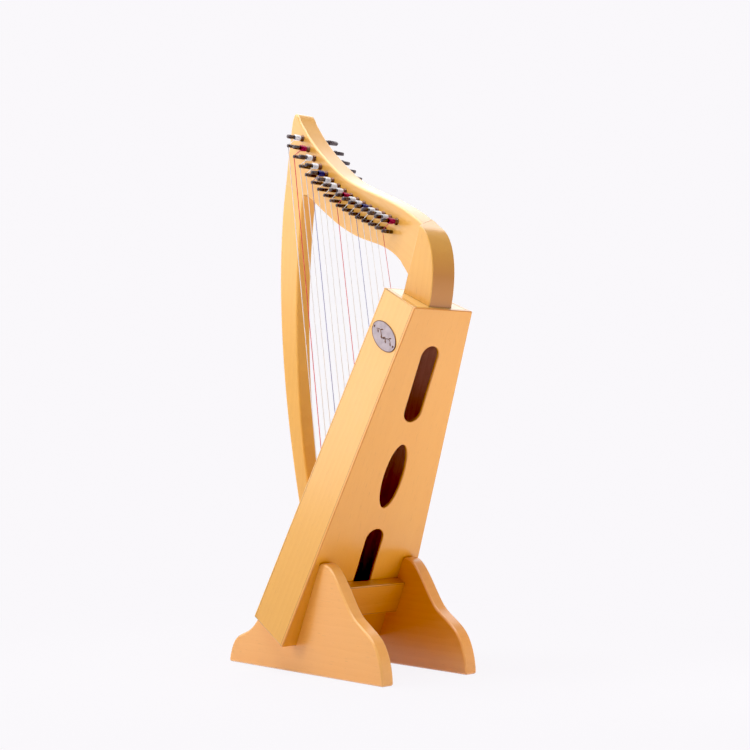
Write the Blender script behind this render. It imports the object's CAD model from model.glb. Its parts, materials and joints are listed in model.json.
"""Looks for the lap harp on its cradle stand: eased boards, strings, pins, badge, materials, light."""
import json
import math
import random

import bmesh
import bpy
import numpy as np
from mathutils import Matrix, Vector
from mathutils.bvhtree import BVHTree


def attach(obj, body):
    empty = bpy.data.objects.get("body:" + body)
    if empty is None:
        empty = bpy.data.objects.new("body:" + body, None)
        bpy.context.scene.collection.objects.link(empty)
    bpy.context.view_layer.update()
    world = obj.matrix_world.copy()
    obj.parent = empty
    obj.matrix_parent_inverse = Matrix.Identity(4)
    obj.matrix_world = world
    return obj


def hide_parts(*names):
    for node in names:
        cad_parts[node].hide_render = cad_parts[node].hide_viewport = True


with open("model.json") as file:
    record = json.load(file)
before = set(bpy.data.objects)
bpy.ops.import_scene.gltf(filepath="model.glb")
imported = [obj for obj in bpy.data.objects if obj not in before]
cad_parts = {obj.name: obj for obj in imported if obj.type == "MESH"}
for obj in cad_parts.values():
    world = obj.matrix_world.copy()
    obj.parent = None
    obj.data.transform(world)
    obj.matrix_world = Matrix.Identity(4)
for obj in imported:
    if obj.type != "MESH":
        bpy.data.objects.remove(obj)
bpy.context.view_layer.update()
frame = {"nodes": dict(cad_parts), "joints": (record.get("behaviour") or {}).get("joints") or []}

MM = 0.001
NODES = frame["nodes"]
HARP = "harp"
rng = random.Random(16)

# ---- frame of the sound box, as in the CAD ----
LEAN = math.radians(23.85)
FORWARD = Vector((-math.cos(LEAN), 0, math.sin(LEAN)))
UPWARD = Vector((math.sin(LEAN), 0, math.cos(LEAN)))

# ---- pins and strings, in metres, as in the CAD ----
NECK_FACE = -11 * MM            # string side of the neck
KEY_FACE = 18 * MM
STRING_PLANE = -24 * MM
PIN_R = 2.5 * MM
PIN_TIP = -35 * MM
KEY_END = 47 * MM
COLLAR_LEN = 4 * MM
BRIDGE_R = 2.2 * MM
GROOVE_R = 1.6 * MM
BRIDGE_TIP = -27 * MM
COIL_R = 3.4 * MM
FIRST_PITCH, SECOND_PITCH = 2.7, 5.2    # advance of a turn in each layer, in string radii
STRING_INSIDE = 10.7 * MM       # from the eyelet's face to the knot
THICK_STRING, THIN_STRING = 0.5 * MM, 0.32 * MM
STRINGS = len(frame["joints"])
RED_PHASE, BLUE_PHASE, OCTAVE = 1, 4, 7


# ---- small helpers ----
def link(name, mesh, materials):
    """A new object with this mesh and these materials."""
    obj = bpy.data.objects.new(name, mesh)
    bpy.context.scene.collection.objects.link(obj)
    for m in materials:
        mesh.materials.append(m)
    return obj


def from_bmesh(name, bm, material, smooth_angle=35):
    """A new object from a bmesh, smooth except at edges sharper than smooth_angle degrees."""
    bmesh.ops.recalc_face_normals(bm, faces=bm.faces)
    for face in bm.faces:
        face.smooth = True
    for edge in bm.edges:
        edge.smooth = len(edge.link_faces) != 2 or edge.calc_face_angle() < math.radians(smooth_angle)
    mesh = bpy.data.meshes.new(name)
    bm.to_mesh(mesh)
    bm.free()
    return link(name, mesh, [material])


def settle(obj, body, slot, *nodes):
    """The piece rides on a body, takes a record slot and stands for some CAD nodes."""
    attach(obj, body)
    if nodes:
        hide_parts(*nodes)
    return obj


def islands(node):
    """The separate solids of a CAD node, each as an array of its points."""
    bm = bmesh.new()
    bm.from_mesh(NODES[node].data)
    bmesh.ops.remove_doubles(bm, verts=bm.verts, dist=2e-6)
    seen, found = set(), []
    for start in bm.verts:
        if start in seen:
            continue
        seen.add(start)
        todo, group = [start], []
        while todo:
            v = todo.pop()
            group.append(tuple(v.co))
            for e in v.link_edges:
                other = e.other_vert(v)
                if other not in seen:
                    seen.add(other)
                    todo.append(other)
        found.append(np.array(group))
    bm.free()
    return found


def turned(bm, rings, x, z, sides=28, turn=0.0):
    """A closed turned solid with its axis along Y through (x, z). A ring is (y, radius, squareness)."""
    loops = []
    for y, radius, square in rings:
        loop = []
        for k in range(sides):
            a = 2 * math.pi * k / sides
            corner = min(1 / max(abs(math.cos(a)), abs(math.sin(a))), 1.3)
            r = radius * (1 + square * (corner - 1))
            loop.append(bm.verts.new((x + r * math.cos(a + turn), y, z + r * math.sin(a + turn))))
        loops.append(loop)
    for a, b in zip(loops, loops[1:]):
        for k in range(sides):
            bm.faces.new((a[k], a[(k + 1) % sides], b[(k + 1) % sides], b[k]))
    bm.faces.new(loops[0])
    bm.faces.new(loops[-1])


def tube(bm, points, radius, sides=8):
    """A closed round tube along a path."""
    points = [Vector(p) for p in points]
    side = None
    loops = []
    for i, p in enumerate(points):
        ahead = (points[min(i + 1, len(points) - 1)] - points[max(i - 1, 0)]).normalized()
        if side is None:
            side = ahead.orthogonal().normalized()
        side = (side - ahead * side.dot(ahead)).normalized()
        other = ahead.cross(side)
        r = radius[i] if isinstance(radius, list) else radius
        loops.append([bm.verts.new(p + r * (math.cos(a) * side + math.sin(a) * other))
                      for a in (2 * math.pi * k / sides for k in range(sides))])
    for a, b in zip(loops, loops[1:]):
        for k in range(sides):
            bm.faces.new((a[k], a[(k + 1) % sides], b[(k + 1) % sides], b[k]))
    bm.faces.new(loops[0])
    bm.faces.new(loops[-1])


# ---- materials ----
class Net:
    """A material's nodes, made with short calls."""

    def __init__(self, name):
        self.material = bpy.data.materials.new(name)
        self.material.use_nodes = True
        self.tree = self.material.node_tree
        self.shader = self.tree.nodes["Principled BSDF"]
        self.place = self.add("ShaderNodeTexCoord").outputs["Object"]

    def add(self, kind, sockets=None, **settings):
        node = self.tree.nodes.new(kind)
        for key, value in settings.items():
            setattr(node, key, value)
        self.fill(node, sockets or {})
        return node

    def fill(self, node, sockets):
        for key, value in sockets.items():
            if isinstance(value, bpy.types.NodeSocket):
                self.tree.links.new(value, node.inputs[key])
            else:
                node.inputs[key].default_value = value

    def mapped(self, rotation=(0, 0, 0), scale=(1, 1, 1), offset=(0, 0, 0)):
        """Object coordinates turned, then stretched."""
        turned_to = self.add("ShaderNodeMapping", {"Vector": self.place, "Rotation": rotation})
        return self.add("ShaderNodeMapping", {"Vector": turned_to.outputs[0], "Scale": scale,
                                              "Location": offset}).outputs[0]

    def noise(self, vector, scale, detail=3.0, roughness=0.5):
        return self.add("ShaderNodeTexNoise", {"Vector": vector, "Scale": scale, "Detail": detail,
                                               "Roughness": roughness}).outputs["Fac"]

    def math(self, operation, a, b=0.0):
        return self.add("ShaderNodeMath", {0: a, 1: b}, operation=operation).outputs[0]

    def span(self, value, low, high, to_low=0.0, to_high=1.0):
        """A value from low to high carried to to_low to to_high, clamped."""
        return self.add("ShaderNodeMapRange", {"Value": value, "From Min": low, "From Max": high,
                                               "To Min": to_low, "To Max": to_high}).outputs[0]

    def mix(self, factor, a, b):
        node = self.add("ShaderNodeMix", data_type="RGBA")
        self.fill(node, {0: factor, 6: a, 7: b})
        return node.outputs[2]

    def bump(self, height, strength, distance):
        return self.add("ShaderNodeBump", {"Height": height, "Strength": strength,
                                           "Distance": distance}).outputs[0]

    def finish(self, sockets):
        self.fill(self.shader, sockets)
        return self.material


AMBER = (0.60, 0.19, 0.02, 1)          # lacquer in thick edges
AGED = (0.50, 0.195, 0.030, 1)         # the back of the shoulder block


def darker_behind(net, colour, low, high):
    """The colour, brought towards AGED on faces that look back (+X): not above high, fully at low."""
    height = net.add("ShaderNodeSeparateXYZ", {"Vector": net.place}).outputs["Z"]
    facing = net.add("ShaderNodeSeparateXYZ", {
        "Vector": net.add("ShaderNodeNewGeometry").outputs["Normal"]}).outputs["X"]
    share = net.math("MULTIPLY", net.span(height, high, low), net.span(facing, 0.2, 0.8))
    return net.mix(share, colour, AGED)


def wood(name, light, dark, grain, gloss=1.0, contrast=1.0, seed=0.0, amber=False, aged=None):
    """Fine-grained lacquered wood.

    grain turns the grain direction to Z; amber edges are thick with lacquer; aged holds the two
    heights between which the faces that look back turn darker downwards.
    """
    net = Net(name)
    offset = (seed * 0.37, seed * 0.21, seed * 0.53)
    broad = net.noise(net.mapped(grain, (1, 1, 0.22), offset), 9, 2)
    rings_at = net.mapped(grain, (1, 0.6, 0.10), offset)
    rings = net.add("ShaderNodeTexWave", {"Vector": rings_at, "Scale": 34.0, "Distortion": 5.0,
                                          "Detail": 3.0, "Detail Scale": 1.6, "Detail Roughness": 0.6},
                    wave_type="BANDS", bands_direction="X", wave_profile="SAW").outputs["Fac"]
    fibre = net.noise(net.mapped(grain, (1, 1, 0.035), offset), 620, 4, 0.6)
    pores = net.noise(net.mapped(grain, (1, 1, 0.09), offset), 900, 2, 0.5)
    pore_mask = net.span(pores, 0.64, 0.74)
    shade = net.math("ADD", net.math("MULTIPLY", broad, 0.55), net.math("MULTIPLY", fibre, 0.30))
    shade = net.math("ADD", shade, net.math("MULTIPLY", rings, 0.15))
    colour = net.mix(net.span(shade, 0.5 - 0.26 / contrast, 0.5 + 0.26 / contrast), dark, light)
    deep = tuple(c * 0.62 for c in dark[:3]) + (1,)
    colour = net.mix(net.math("MULTIPLY", pore_mask, 0.30 * contrast), colour, deep)
    if aged:
        colour = darker_behind(net, colour, *aged)
    edge = net.add("ShaderNodeAttribute", attribute_name="edge").outputs["Fac"]
    wear = net.math("MULTIPLY", net.span(edge, 0.0, 1.0), net.span(fibre, 0.3, 0.7, 0.45, 0.75))
    crown = AMBER if amber else tuple(min(1.0, c * 1.12 + 0.05) for c in light[:3]) + (1,)
    colour = net.mix(wear, colour, crown)
    seam = net.span(edge, -0.1, -1.0)
    colour = net.mix(net.math("MULTIPLY", seam, 0.75), colour, tuple(c * 0.22 for c in dark[:3]) + (1,))
    rough = net.span(net.noise(net.mapped(scale=(1, 1, 1), offset=offset), 45, 3), 0.3, 0.7,
                     0.50 - 0.20 * gloss, 0.60 - 0.20 * gloss)
    height = net.math("SUBTRACT", net.math("MULTIPLY", fibre, 0.5), net.math("MULTIPLY", pore_mask, 0.5))
    return net.finish({"Base Color": colour, "Roughness": rough,
                       "Normal": net.bump(height, 0.10, 0.15 * MM),
                       "Coat Weight": 1.0 * gloss, "Coat Roughness": 0.2, "Specular IOR Level": 0.5})


def metal(name, colour, worn, rough, brushed=(1, 1, 1), metallic=1.0):
    """Metal with fine brushing, tarnish and a scatter of scratches."""
    net = Net(name)
    tarnish = net.noise(net.place, 140, 4, 0.6)
    fine = net.noise(net.mapped(scale=brushed), 2200, 2, 0.5)
    tone = net.mix(net.span(tarnish, 0.35, 0.68), colour, worn)
    tone = net.mix(net.math("MULTIPLY", fine, 0.25), tone, worn)
    shine = net.math("ADD", net.span(tarnish, 0.3, 0.7, rough - 0.06, rough + 0.10),
                     net.math("MULTIPLY", fine, 0.08))
    return net.finish({"Base Color": tone, "Metallic": metallic, "Roughness": shine,
                       "Normal": net.bump(fine, 0.08, 0.05 * MM)})


def nylon(name, colour, deep, clear=0.0):
    """Smooth string with a faint change of tone along it."""
    net = Net(name)
    change = net.noise(net.place, 260, 3)
    ripple = net.noise(net.place, 3000, 2)
    return net.finish({"Base Color": net.mix(net.span(change, 0.35, 0.65), deep, colour),
                       "Roughness": net.span(ripple, 0.3, 0.7, 0.16, 0.28),
                       "Normal": net.bump(ripple, 0.05, 0.03 * MM),
                       "Transmission Weight": clear, "IOR": 1.53, "Coat Weight": 0.3,
                       "Coat Roughness": 0.08})


ALONG_BOX = (0, -LEAN, 0)
ALONG_X = (0, math.radians(90), 0)
ALONG_Y = (math.radians(90), 0, 0)
ALONG_NECK = (0, math.radians(-125), 0)
ALONG_PILLAR = (0, math.radians(-4), 0)
ALONG_BLOCK = (0, math.radians(-12), 0)

HONEY = ((0.80, 0.415, 0.070, 1), (0.73, 0.345, 0.048, 1))
NECK_WOOD = ((0.82, 0.44, 0.105, 1), (0.75, 0.37, 0.075, 1))
BACK_WOOD = ((0.80, 0.365, 0.058, 1), (0.73, 0.30, 0.040, 1))
BAR_WOOD = ((0.75, 0.32, 0.050, 1), (0.67, 0.26, 0.035, 1))
FOOT_WOOD = ((0.90, 0.43, 0.110, 1), (0.84, 0.37, 0.080, 1))
FAR_FOOT_WOOD = ((0.85, 0.37, 0.085, 1), (0.78, 0.31, 0.060, 1))
PLATE_WOOD = ((0.93, 0.61, 0.22, 1), (0.87, 0.53, 0.16, 1))
RAW_WOOD = ((0.84, 0.50, 0.41, 1), (0.68, 0.37, 0.30, 1))
RAIL_WOOD = ((0.46, 0.24, 0.09, 1), (0.32, 0.15, 0.05, 1))

side_wood = wood("side_wood", *HONEY, ALONG_BOX, seed=1, amber=True)
panel_wood = wood("panel_wood", *BACK_WOOD, ALONG_BOX, seed=2, amber=True)
board_wood = wood("board_wood", *HONEY, ALONG_BOX, contrast=0.8, seed=3)
neck_wood = wood("neck_wood", *NECK_WOOD, ALONG_NECK, seed=4)
pillar_wood = wood("pillar_wood", *HONEY, ALONG_PILLAR, seed=5)
block_wood = wood("block_wood", *HONEY, ALONG_BLOCK, seed=6, aged=(0.462, 0.512))
foot_wood = wood("foot_wood", *FOOT_WOOD, ALONG_X, seed=7)
far_foot_wood = wood("far_foot_wood", *FAR_FOOT_WOOD, ALONG_X, seed=11)
bar_wood = wood("bar_wood", *BAR_WOOD, ALONG_Y, seed=8)
plate_wood = wood("plate_wood", *PLATE_WOOD, ALONG_Y, seed=9)
inner_wood = wood("inner_wood", *RAW_WOOD, ALONG_BOX, gloss=0.0, contrast=1.3, seed=10)
rail_wood = wood("rail_wood", *RAIL_WOOD, ALONG_BOX, seed=12)
pin_steel = metal("pin_steel", (0.07, 0.06, 0.065, 1), (0.20, 0.17, 0.175, 1), 0.20)
collar_steel = metal("collar_steel", (0.12, 0.065, 0.05, 1), (0.26, 0.16, 0.12, 1), 0.24)
screw_steel = metal("screw_steel", (0.45, 0.45, 0.46, 1), (0.60, 0.59, 0.58, 1), 0.32)
eyelet_brass = metal("eyelet_brass", (0.78, 0.52, 0.18, 1), (0.58, 0.36, 0.12, 1), 0.24)
badge_silver = metal("badge_silver", (0.46, 0.385, 0.41, 1), (0.365, 0.30, 0.325, 1), 0.45,
                     brushed=(1, 1, 0.05), metallic=0.3)
badge_dark = metal("badge_dark", (0.13, 0.07, 0.05, 1), (0.24, 0.15, 0.11, 1), 0.38)
white_nylon = nylon("white_nylon", (0.98, 0.96, 0.94, 1), (0.90, 0.88, 0.88, 1), 0.15)
red_nylon = nylon("red_nylon", (0.95, 0.10, 0.15, 1), (0.85, 0.06, 0.10, 1), 0.35)
blue_nylon = nylon("blue_nylon", (0.50, 0.51, 0.82, 1), (0.40, 0.41, 0.74, 1), 0.6)
white_coil = nylon("white_coil", (0.98, 0.97, 0.99, 1), (0.80, 0.79, 0.84, 1))
red_coil = nylon("red_coil", (0.50, 0.02, 0.09, 1), (0.34, 0.01, 0.06, 1))
blue_coil = nylon("blue_coil", (0.05, 0.05, 0.22, 1), (0.03, 0.03, 0.15, 1))


# ---- boards with eased edges, from the CAD solids ----
def joined_tree(skip):
    """A tree of every CAD face except those of one node."""
    points, faces = [], []
    for name, obj in NODES.items():
        if name == skip or name.startswith(("tuning_pin", "strings_", "string_", "pin_", "bridge_")):
            continue
        start = len(points)
        points += [v.co.copy() for v in obj.data.vertices]
        faces += [[start + i for i in p.vertices] for p in obj.data.polygons]
    return BVHTree.FromPolygons(points, faces)


SHARP = math.radians(35)        # edges at a smaller angle are left alone
TOUCHING = 0.35 * MM            # faces nearer than this are glued together
EDGE_STEP = 1.3 * MM            # how far beside an edge that is looked for


def meets_neighbour(edge, tree):
    """True if another part lies against either face beside the middle of the edge."""
    middle = (edge.verts[0].co + edge.verts[1].co) / 2
    along = (edge.verts[1].co - edge.verts[0].co).normalized()
    for face in edge.link_faces:
        inward = face.normal.cross(along)
        if inward.dot(face.calc_center_median() - middle) < 0:
            inward = -inward
        near = tree.find_nearest(middle + inward * EDGE_STEP + face.normal * 0.2 * MM)
        if near[3] is not None and near[3] < TOUCHING:
            return True
    return False


def board(node, material, slot, radius, seam=0.35 * MM, keep_sharp=None, share=None, segments=4,
          inside=None):
    """The node's shape with open edges rounded to radius, or a share of it.

    Glued edges are only broken, by seam. Faces that look along inside are left as raw wood.
    """
    tree = joined_tree(node)
    bm = bmesh.new()
    bm.from_mesh(NODES[node].data)
    bmesh.ops.remove_doubles(bm, verts=bm.verts, dist=2e-6)
    bmesh.ops.dissolve_limit(bm, angle_limit=math.radians(0.3), verts=bm.verts, edges=bm.edges)
    bm.normal_update()
    weight = bm.edges.layers.float.new("bevel_weight_edge")
    seams = []
    for edge in bm.edges:
        if len(edge.link_faces) != 2 or edge.calc_face_angle() < SHARP:
            continue
        if keep_sharp and keep_sharp(edge):
            edge.smooth = False
        elif meets_neighbour(edge, tree):
            edge[weight] = seam / radius
            seams.append((edge.verts[0].co.copy(), edge.verts[1].co.copy()))
        else:
            edge[weight] = share(edge) if share else 1.0
    for face in bm.faces:
        face.smooth = True
    mesh = bpy.data.meshes.new(node + "_draft")
    bm.to_mesh(mesh)
    bm.free()
    draft = link(node + "_draft", mesh, [material, material])
    ease = draft.modifiers.new("ease", "BEVEL")
    ease.width, ease.segments, ease.limit_method = radius, segments, "WEIGHT"
    ease.use_clamp_overlap, ease.material, ease.miter_outer = False, 1, "MITER_ARC"
    draft.modifiers.new("normals", "WEIGHTED_NORMAL").keep_sharp = True
    made = bpy.data.meshes.new_from_object(draft.evaluated_get(bpy.context.evaluated_depsgraph_get()))
    bpy.data.objects.remove(draft)
    mark_edges(made, seams, seam)
    made.materials.clear()
    name = node + "_board"
    made.name = name
    if inside:
        for poly in made.polygons:
            poly.material_index = int(poly.normal.dot(inside) > 0.97)
    return settle(link(name, made, [material, inner_wood][:2 if inside else 1]), HARP, slot, node)


def mark_edges(mesh, seams, reach):
    """Attribute edge: 1 on the crown of an open edge, -1 in a glued seam, else 0."""
    inner = np.ones(len(mesh.vertices), bool)
    for poly in mesh.polygons:
        if poly.material_index == 0:
            inner[list(poly.vertices)] = False
        poly.material_index = 0
    values = np.zeros(len(mesh.vertices), np.float32)
    for i in np.flatnonzero(inner):
        p = mesh.vertices[i].co
        values[i] = 1.0
        for a, b in seams:
            run = b - a
            t = max(0.0, min(1.0, (p - a).dot(run) / run.length_squared))
            if (p - a - run * t).length < 1.5 * reach:
                values[i] = -1.0
                break
    mesh.attributes.new("edge", "FLOAT", "POINT").data.foreach_set("value", values)


tuning = [Vector(j["pos_m"]) for j in frame["joints"]]
bridges = sorted((((p.min(0) + p.max(0)) / 2).tolist() for p in islands("bridge_pins")))
bridges = [Vector((x, 0, z)) for x, _, z in bridges]


BORE_EDGE = 3.4 * MM                        # edges nearer to a pin's axis belong to its bore
ARCH_END = Vector((106.5, 0, 462)) * MM     # where the arch meets the block
ARCH_CRISP = 20 * MM                        # no rounding this near to it


def crisp_on_neck(edge):
    """Edges of the pin bores, of the skewed joint with the block and of the end of the arch."""
    middle = (edge.verts[0].co + edge.verts[1].co) / 2
    middle.y = 0
    return (any((middle - Vector((p.x, 0, p.z))).length < BORE_EDGE for p in tuning + bridges)
            or any(0.2 < abs(face.normal.y) < 0.8 for face in edge.link_faces)
            or (middle - ARCH_END).length < ARCH_CRISP)


def bore_edge(edge):
    """Edges of the small bores along the middle of the soundboard and rails."""
    return max(abs(v.co.y) for v in edge.verts) < 3 * MM


def crown_share(edge):
    """The neck is rounded fully over its top and front, and less along the arch."""
    wall = min((f.normal for f in edge.link_faces), key=lambda n: abs(n.y))
    return 1.0 if wall.z > 0 or wall.x < -0.8 else 0.5


board("foot_left", foot_wood, "maple", 3.0 * MM)
board("foot_right", far_foot_wood, "maple", 3.0 * MM)
board("stand_bar", bar_wood, "maple", 2.0 * MM)
board("side_left", side_wood, "maple", 1.5 * MM, inside=Vector((0, 1, 0)))
board("side_right", side_wood, "maple", 1.5 * MM, inside=Vector((0, -1, 0)))
board("back_panel", panel_wood, "maple", 1.3 * MM, inside=FORWARD)
board("soundboard", board_wood, "soundboard_wood", 1.3 * MM, keep_sharp=bore_edge, inside=-FORWARD)
board("top_plate", plate_wood, "maple", 1.0 * MM, seam=0.7 * MM)
board("bottom_plate", plate_wood, "maple", 1.0 * MM)
board("shoulder_block", block_wood, "maple", 1.3 * MM)
board("neck", neck_wood, "maple", 3.0 * MM, keep_sharp=crisp_on_neck, share=crown_share, segments=6,
      seam=0.08 * MM)
board("pillar", pillar_wood, "maple", 2.6 * MM, seam=0.08 * MM)
board("string_rail", rail_wood, "rail_wood", 0.8 * MM, keep_sharp=bore_edge)

# ---- CAD nodes that keep their own shape ----
for names, material in ((("linings", "soundboard_braces", "base_block", "inner_rail"), inner_wood),
                        (("stand_dowels", "frame_dowels"), inner_wood),
                        (("pillar_screws", "shoulder_screws"), screw_steel),
                        (("string_knots",), white_nylon)):
    for name in names:
        NODES[name].data.materials.clear()
        NODES[name].data.materials.append(material)


# ---- tuning pins, windings, collars and bridge pins ----
def string_radius(i):
    return THICK_STRING + (THIN_STRING - THICK_STRING) * i / (STRINGS - 1)


def string_look(i):
    """(material of its winding, record slot) of a string."""
    if i % OCTAVE == RED_PHASE:
        return red_coil, "string_red"
    if i % OCTAVE == BLUE_PHASE:
        return blue_coil, "string_blue"
    return white_coil, "string_clear"


def pin_rings():
    """Profile of a tuning pin from its string end to its square key end."""
    r = PIN_R
    rings = [(PIN_TIP, 0.55 * r, 0), (PIN_TIP + 0.25 * MM, 0.80 * r, 0),
             (PIN_TIP + 0.8 * MM, 0.96 * r, 0), (PIN_TIP + 1.4 * MM, r, 0),
             (PIN_TIP + 9.5 * MM, r, 0), (PIN_TIP + 9.8 * MM, 0.93 * r, 0),
             (NECK_FACE, 0.93 * r, 0), (KEY_FACE, r, 0)]
    y = KEY_FACE + 0.6 * MM
    for _ in range(9):                                     # fine thread on the key side
        rings += [(y, r, 0), (y + 0.35 * MM, 0.92 * r, 0), (y + 0.7 * MM, r, 0)]
        y += 0.9 * MM
    return rings + [
        (y, r, 0), (32.0 * MM, r, 0), (32.4 * MM, 1.22 * r, 0), (32.9 * MM, 1.28 * r, 0),
        (35.4 * MM, 1.28 * r, 0), (36.0 * MM, 1.15 * r, 0), (36.6 * MM, 2.3 * MM, 0.4),
        (37.4 * MM, 2.3 * MM, 1), (KEY_END - 1.0 * MM, 2.05 * MM, 1),
        (KEY_END - 0.3 * MM, 1.85 * MM, 0.9), (KEY_END, 1.4 * MM, 0.8)]


def winding(i):
    """Path of a string's turns on its tuning pin, ending where the string leaves it."""
    pin, rest, r = tuning[i], bridges[i], string_radius(i)
    towards = (rest - pin).normalized()
    last = math.atan2(towards.x, -towards.z)               # the leaving point, a quarter turn on
    start, end = NECK_FACE - COLLAR_LEN - r, STRING_PLANE
    inner = PIN_R + 0.8 * r
    steps = 14
    path = []
    count = int((start - end) / (FIRST_PITCH * r) * steps)
    for k in range(count + 1):                             # first layer, towards the neck
        path.append((end + (start - end) * k / count, inner))
    count = int((start - end) / (SECOND_PITCH * r) * steps)
    for k in range(count):                                 # second layer, back out
        t = (k + 1) / count
        path.append((start + (end - start) * t, inner + (COIL_R - inner) * min(1.0, t * 5)))
    total = len(path) - 1
    points = []
    for k, (y, radius) in enumerate(path):
        a = last + 2 * math.pi * (total - k) / steps
        points.append((pin.x + radius * math.cos(a), y, pin.z + radius * math.sin(a)))
    return points


def tangent(p, centre, radius, side):
    """Where the line from p touches the circle in the XZ plane."""
    gap = centre - p
    run = math.sqrt(gap.length_squared - radius * radius)
    a = side * math.asin(radius / gap.length)
    way = Vector((gap.x * math.cos(a) - gap.z * math.sin(a), 0,
                  gap.x * math.sin(a) + gap.z * math.cos(a)))
    return p + way.normalized() * run


def eyelet_mouths():
    """Middle of each eyelet's face, longest string first."""
    found = []
    for points in islands("string_eyelets"):
        ahead = points @ np.array(FORWARD)
        above = points @ np.array(UPWARD)
        found.append(FORWARD * float(ahead.max()) + UPWARD * float((above.min() + above.max()) / 2))
    return sorted(found, key=lambda p: p.z)


mouths = eyelet_mouths()


def string_path(i):
    """Off the winding, round the bridge pin, down to the eyelet and in to the knot."""
    pin, rest, mouth, r = tuning[i], bridges[i], mouths[i], string_radius(i)
    out = Vector((0, STRING_PLANE, 0))
    towards = (rest - pin).normalized()
    leave = pin + COIL_R * Vector((-towards.z, 0, towards.x))
    wrap = GROOVE_R + r + 0.05 * MM
    first = tangent(leave, rest, wrap, -1) - rest
    last = tangent(mouth, rest, wrap, 1) - rest
    a0, a1 = math.atan2(first.z, first.x), math.atan2(last.z, last.x)
    if a1 - a0 > math.pi:
        a1 -= 2 * math.pi
    if a0 - a1 > math.pi:
        a1 += 2 * math.pi
    arc = [rest + out + wrap * Vector((math.cos(a), 0, math.sin(a)))
           for a in (a0 + (a1 - a0) * k / 6 for k in range(7))]
    run = [arc[-1].lerp(mouth, k / 24) for k in range(1, 25)]
    inside = mouth - FORWARD * STRING_INSIDE
    return [leave + out, *arc, *run, inside]


for i, joint in enumerate(frame["joints"]):
    number = f"{i + 1:02d}"
    material, slot = string_look(i)
    bm = bmesh.new()
    turned(bm, pin_rings(), tuning[i].x, tuning[i].z, turn=rng.uniform(0, 2 * math.pi))
    pin = from_bmesh("pin_" + number, bm, pin_steel)
    settle(pin, joint["child"], "pin_steel", "tuning_pin_" + number)
    bm = bmesh.new()
    tube(bm, winding(i), string_radius(i), 7)
    settle(from_bmesh("winding_" + number, bm, material), joint["child"], slot)

bm = bmesh.new()
for p in tuning:
    y = NECK_FACE
    rings = [(y + 0.2 * MM, 4.2), (y - 0.5 * MM, 4.2), (y - 0.9 * MM, 4.0), (y - 1.3 * MM, 3.7),
             (y - 2.0 * MM, 3.35), (y - 3.2 * MM, 3.15), (y - 3.8 * MM, 3.05), (y - 4.0 * MM, 2.8)]
    turned(bm, [(a, b * MM, 0) for a, b in rings], p.x, p.z)
settle(from_bmesh("collars", bm, collar_steel), HARP, "dark_steel", "pin_collars")

bm = bmesh.new()
for p in bridges:
    r, g, at = BRIDGE_R, GROOVE_R, STRING_PLANE
    rings = [(NECK_FACE + 9.9 * MM, r), (at + 1.5 * MM, r), (at + 1.1 * MM, 0.9 * r), (at + 0.7 * MM, g),
             (at - 0.7 * MM, g), (at - 1.1 * MM, 0.9 * r), (at - 1.5 * MM, r),
             (BRIDGE_TIP + 0.9 * MM, r), (BRIDGE_TIP + 0.4 * MM, 0.86 * r),
             (BRIDGE_TIP + 0.1 * MM, 0.6 * r), (BRIDGE_TIP, 0.3 * r)]
    turned(bm, [(a, b, 0) for a, b in rings], p.x, p.z)
settle(from_bmesh("bridge_row", bm, pin_steel), HARP, "dark_steel", "bridge_pins")

# ---- strings and eyelets ----
for slot, material, node in (("string_clear", white_nylon, "strings_clear"),
                             ("string_blue", blue_nylon, "strings_blue"),
                             ("string_red", red_nylon, "strings_red")):
    bm = bmesh.new()
    for i in range(STRINGS):
        if string_look(i)[1] == slot:
            tube(bm, string_path(i), string_radius(i))
    settle(from_bmesh(node + "_run", bm, material), HARP, slot, node)


def ring_about(bm, centre, axis, profile, sides=24):
    """A closed ring: profile points are (distance along the axis, radius)."""
    u = axis.orthogonal().normalized()
    v = axis.cross(u)
    loops = [[bm.verts.new(centre + axis * h + r * (math.cos(a) * u + math.sin(a) * v))
              for a in (2 * math.pi * k / sides for k in range(sides))] for h, r in profile]
    for a, b in zip(loops, loops[1:] + loops[:1]):
        for k in range(sides):
            bm.faces.new((a[k], a[(k + 1) % sides], b[(k + 1) % sides], b[k]))


bm = bmesh.new()
for mouth in mouths:
    flange = [(-0.7, 2.4), (-0.35, 2.4), (-0.1, 2.15), (0.0, 1.75), (-0.05, 1.3), (-0.3, 0.95),
              (-0.9, 0.8), (-9.6, 0.8), (-9.6, 1.6), (-0.7, 1.6)]
    ring_about(bm, mouth, FORWARD, [(h * MM, r * MM) for h, r in flange])
settle(from_bmesh("eyelet_row", bm, eyelet_brass), HARP, "brass", "string_eyelets")


# ---- badge ----
def badge_frame():
    """Matrix from badge coordinates (across, up, out) in metres, and the half sizes."""
    points = np.array([v.co for v in NODES["badge"].data.vertices])
    centre = (points.min(0) + points.max(0)) / 2
    _, _, axes = np.linalg.svd(points - points.mean(0), full_matrices=False)
    across, out = Vector(axes[0]), Vector(axes[2])
    across = across if across.x > 0 else -across
    out = out if out.y < 0 else -out
    up = out.cross(across)
    span = (points - centre) @ np.array([across, up, out]).T
    half = (span.max(0) - span.min(0)) / 2
    to_world = Matrix((across, up, out)).transposed().to_4x4()
    to_world.translation = Vector(centre) - out * float(half[2])
    return to_world, float(half[0]), float(half[1])


BADGE, BADGE_A, BADGE_B = badge_frame()
VINE_REACH, VINE_SWING = 18.5, 2.4        # mm each way from the middle of the badge
VINE_BENDS, VINE_LEAVES = 3, 7


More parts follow.
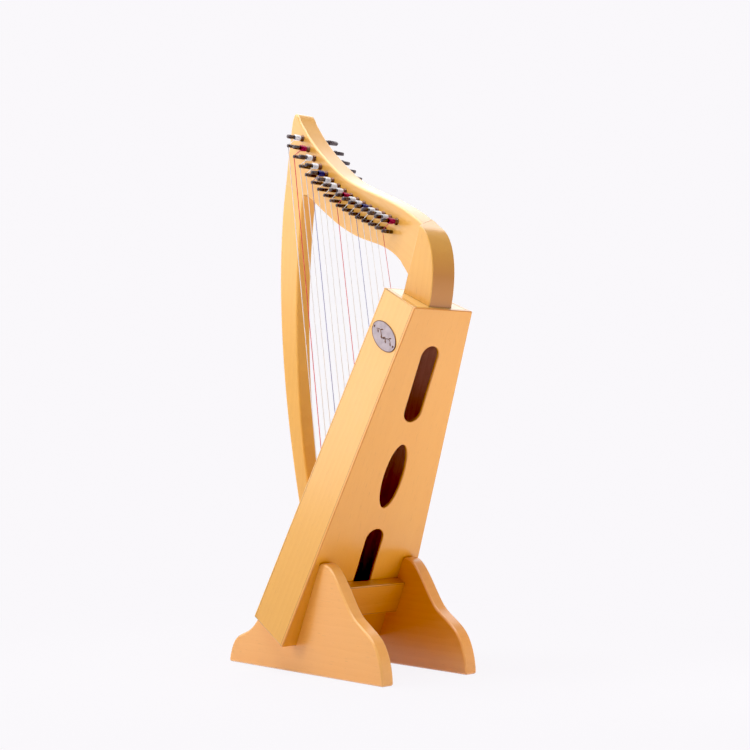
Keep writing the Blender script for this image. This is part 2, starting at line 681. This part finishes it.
def badge_rings(bm, profile, sides=72):
    """Elliptical rings (inset from the outline, height), closed at the last ring."""
    loops = []
    for inset, height in profile:
        loops.append([bm.verts.new(BADGE @ Vector(((BADGE_A - inset * MM) * math.cos(a),
                                                   (BADGE_B - inset * MM) * math.sin(a), height * MM)))
                      for a in (2 * math.pi * k / sides for k in range(sides))])
    for a, b in zip(loops, loops[1:]):
        for k in range(sides):
            bm.faces.new((a[k], a[(k + 1) % sides], b[(k + 1) % sides], b[k]))
    return loops


bm = bmesh.new()
loops = badge_rings(bm, [(0.0, 0.0), (0.0, 0.55), (0.25, 0.85), (0.6, 0.8), (1.6, 0.72), (3.0, 0.86),
                         (6.0, 0.97), (9.5, 1.0)])
bm.faces.new(loops[0])
bm.faces.new(loops[-1])
settle(from_bmesh("badge_plate", bm, badge_silver, 60), HARP, "badge_metal", "badge")

bm = bmesh.new()
loops = badge_rings(bm, [(-0.05, 0.1), (-0.05, 0.75), (0.2, 1.0), (0.7, 1.0), (1.0, 0.7), (1.0, 0.1)])
for k in range(len(loops[0])):
    n = (k + 1) % len(loops[0])
    bm.faces.new((loops[0][k], loops[0][n], loops[-1][n], loops[-1][k]))
settle(from_bmesh("badge_rim", bm, badge_dark, 60), HARP, "badge_metal")


def vine():
    """A stem that waves across the badge, with curled leaves at each bend: a plain ornament."""
    bm = bmesh.new()

    def wave(x):
        return VINE_SWING * math.sin(math.pi * VINE_BENDS * (x / VINE_REACH + 1) / 2)

    def on_plate(x, y):
        return BADGE @ Vector((x * MM, y * MM, 1.0 * MM))

    def swell(thin, thick, steps):
        return [(thin + thick * math.sin(math.pi * k / steps)) * MM for k in range(steps + 1)]

    stem = [VINE_REACH * (k / 30 - 1) for k in range(61)]
    tube(bm, [on_plate(x, wave(x)) for x in stem], swell(0.25, 0.35, 60), 6)
    for k in range(VINE_LEAVES):
        x = VINE_REACH * ((2 * k + 1) / VINE_LEAVES - 1)
        side = 1 if k % 2 else -1
        curl = [j / 8 for j in range(9)]
        leaf = [on_plate(x + 4.6 * t, wave(x) + side * (5.2 * t - 2.0 * t * t)) for t in curl]
        tube(bm, leaf, swell(0.15, 0.75, 8), 6)
    return bm


settle(from_bmesh("badge_vine", vine(), badge_dark), HARP, "badge_metal")

bm = bmesh.new()
out = (BADGE.to_3x3() @ Vector((0, 0, 1))).normalized()
for s in (-1, 1):
    foot = BADGE @ Vector((s * (BADGE_A - 4 * MM), 0, 0.75 * MM))
    ring_about(bm, foot, out, [(h * MM, r * MM) for h, r in (
        (0.0, 0.02), (0.0, 1.35), (0.35, 1.3), (0.7, 1.0), (0.92, 0.5), (0.98, 0.02))], 16)
settle(from_bmesh("badge_tacks", bm, badge_dark), HARP, "badge_metal", "badge_pins")

# ---- camera ----
camera = bpy.data.objects.new("camera", bpy.data.cameras.new("camera"))
bpy.context.scene.collection.objects.link(camera)
camera.location = (1.46987, -1.31248, 0.29073)
camera.rotation_euler = (math.radians(91.806), 0, math.radians(47.567))
camera.data.lens = 78.25
camera.data.sensor_width = 36
camera.data.clip_start = 0.05
bpy.context.scene.camera = camera

# ---- floor, world and lights ----
BACKDROP = (0.956, 0.938, 0.965, 1)
AMBIENT = 0.07                  # world as a source of light
MIRRORED = 0.60                 # world as seen in gloss
SHADOW = 0.07                   # share of the floor near the harp that shows its shadow
SHADOW_REACH = (0.25, 0.75)     # metres from the middle over which that share fades out
BLACK = 0.024                   # light level shown as black, for firm shadows
FLOOR_GLOW = 0.6                # extra light that the floor gives beyond that


def glow(nodes, kind, strength):
    """A backdrop-coloured Background or Emission node."""
    node = nodes.new(kind)
    node.inputs["Color"].default_value = BACKDROP
    if isinstance(strength, bpy.types.NodeSocket):
        node.id_data.links.new(strength, node.inputs["Strength"])
    else:
        node.inputs["Strength"].default_value = strength
    return node.outputs[0]


def blend_shaders(tree, factor, first, second):
    node = tree.nodes.new("ShaderNodeMixShader")
    tree.links.new(factor, node.inputs[0])
    tree.links.new(first, node.inputs[1])
    tree.links.new(second, node.inputs[2])
    return node.outputs[0]


def make_world():
    """One pale tone for the camera, a dimmer one as a source of light."""
    world = bpy.data.worlds.new("studio")
    world.use_nodes = True
    tree = world.node_tree
    tree.nodes.clear()
    rays = tree.nodes.new("ShaderNodeLightPath").outputs
    ambient, mirrored, plain = (glow(tree.nodes, "ShaderNodeBackground", strength)
                                for strength in (AMBIENT, MIRRORED, 1.0))
    gloss = blend_shaders(tree, rays["Is Glossy Ray"], ambient, mirrored)
    seen = blend_shaders(tree, rays["Is Camera Ray"], gloss, plain)
    tree.links.new(seen, tree.nodes.new("ShaderNodeOutputWorld").inputs["Surface"])
    bpy.context.scene.world = world


def make_floor():
    """A matte white floor that the camera sees in the tone of the backdrop, with a faint shadow."""
    look = bpy.data.materials.new("floor")
    look.use_nodes = True
    tree = look.node_tree
    tree.nodes.clear()
    matte = tree.nodes.new("ShaderNodeBsdfDiffuse")
    matte.inputs["Color"].default_value = (0.88, 0.87, 0.88, 1)
    place = tree.nodes.new("ShaderNodeTexCoord").outputs["Object"]
    away = tree.nodes.new("ShaderNodeVectorMath")
    away.operation = "LENGTH"
    tree.links.new(place, away.inputs[0])
    fade = tree.nodes.new("ShaderNodeMapRange")
    fade.interpolation_type = "SMOOTHSTEP"
    for key, value in (("From Min", SHADOW_REACH[0]), ("From Max", SHADOW_REACH[1]), ("To Min", SHADOW),
                       ("To Max", 0.0)):
        fade.inputs[key].default_value = value
    tree.links.new(away.outputs["Value"], fade.inputs["Value"])
    plain = glow(tree.nodes, "ShaderNodeEmission", 1.0)
    shown = blend_shaders(tree, fade.outputs[0], plain, matte.outputs[0])
    lift = tree.nodes.new("ShaderNodeMapRange")
    for key, value in (("From Min", SHADOW), ("From Max", 0.0), ("To Min", 0.0), ("To Max", FLOOR_GLOW)):
        lift.inputs[key].default_value = value
    tree.links.new(fade.outputs[0], lift.inputs["Value"])
    bounce = tree.nodes.new("ShaderNodeAddShader")
    tree.links.new(matte.outputs[0], bounce.inputs[0])
    tree.links.new(glow(tree.nodes, "ShaderNodeEmission", lift.outputs[0]), bounce.inputs[1])
    rays = tree.nodes.new("ShaderNodeLightPath").outputs
    seen = tree.nodes.new("ShaderNodeMath")
    seen.operation = "MAXIMUM"
    tree.links.new(rays["Is Camera Ray"], seen.inputs[0])
    tree.links.new(rays["Is Glossy Ray"], seen.inputs[1])
    both = blend_shaders(tree, seen.outputs[0], bounce.outputs[0], shown)
    tree.links.new(both, tree.nodes.new("ShaderNodeOutputMaterial").inputs["Surface"])
    bm = bmesh.new()
    bmesh.ops.create_circle(bm, cap_ends=True, segments=96, radius=30)
    from_bmesh("floor", bm, look)


make_world()
make_floor()


def area_light(name, place, size, power, glossy=True, target=(0, 0, 0.33)):
    """A soft rectangular lamp that the camera does not see, nor gloss unless glossy."""
    data = bpy.data.lights.new(name, "AREA")
    data.shape, data.size, data.size_y = "RECTANGLE", size[0], size[1]
    data.energy = power
    lamp = bpy.data.objects.new(name, data)
    bpy.context.scene.collection.objects.link(lamp)
    lamp.location = place
    lamp.rotation_euler = (Vector(target) - Vector(place)).to_track_quat("-Z", "Y").to_euler()
    lamp.visible_camera = False
    lamp.visible_glossy = glossy


area_light("key", (-1.2, -1.95, 1.5), (1.3, 1.3), 22, glossy=False)
area_light("left_panel", (-2.3, -1.35, 1.4), (2.4, 1.6), 18)
area_light("top", (0.0, -0.3, 2.5), (2.4, 2.4), 66)
area_light("behind", (-1.0, 1.7, 1.9), (1.7, 1.2), 8)
area_light("bounce", (0.5, 0.3, 0.02), (0.5, 0.5), 2.4, glossy=False, target=(0.05, 0, 0.2))

bpy.context.scene.view_settings.view_transform = "Standard"
bpy.context.scene.view_settings.look = "None"
bpy.context.scene.view_settings.use_curve_mapping = True
bpy.context.scene.view_settings.curve_mapping.black_level = (BLACK, BLACK, BLACK)
bpy.context.scene.view_settings.curve_mapping.update()
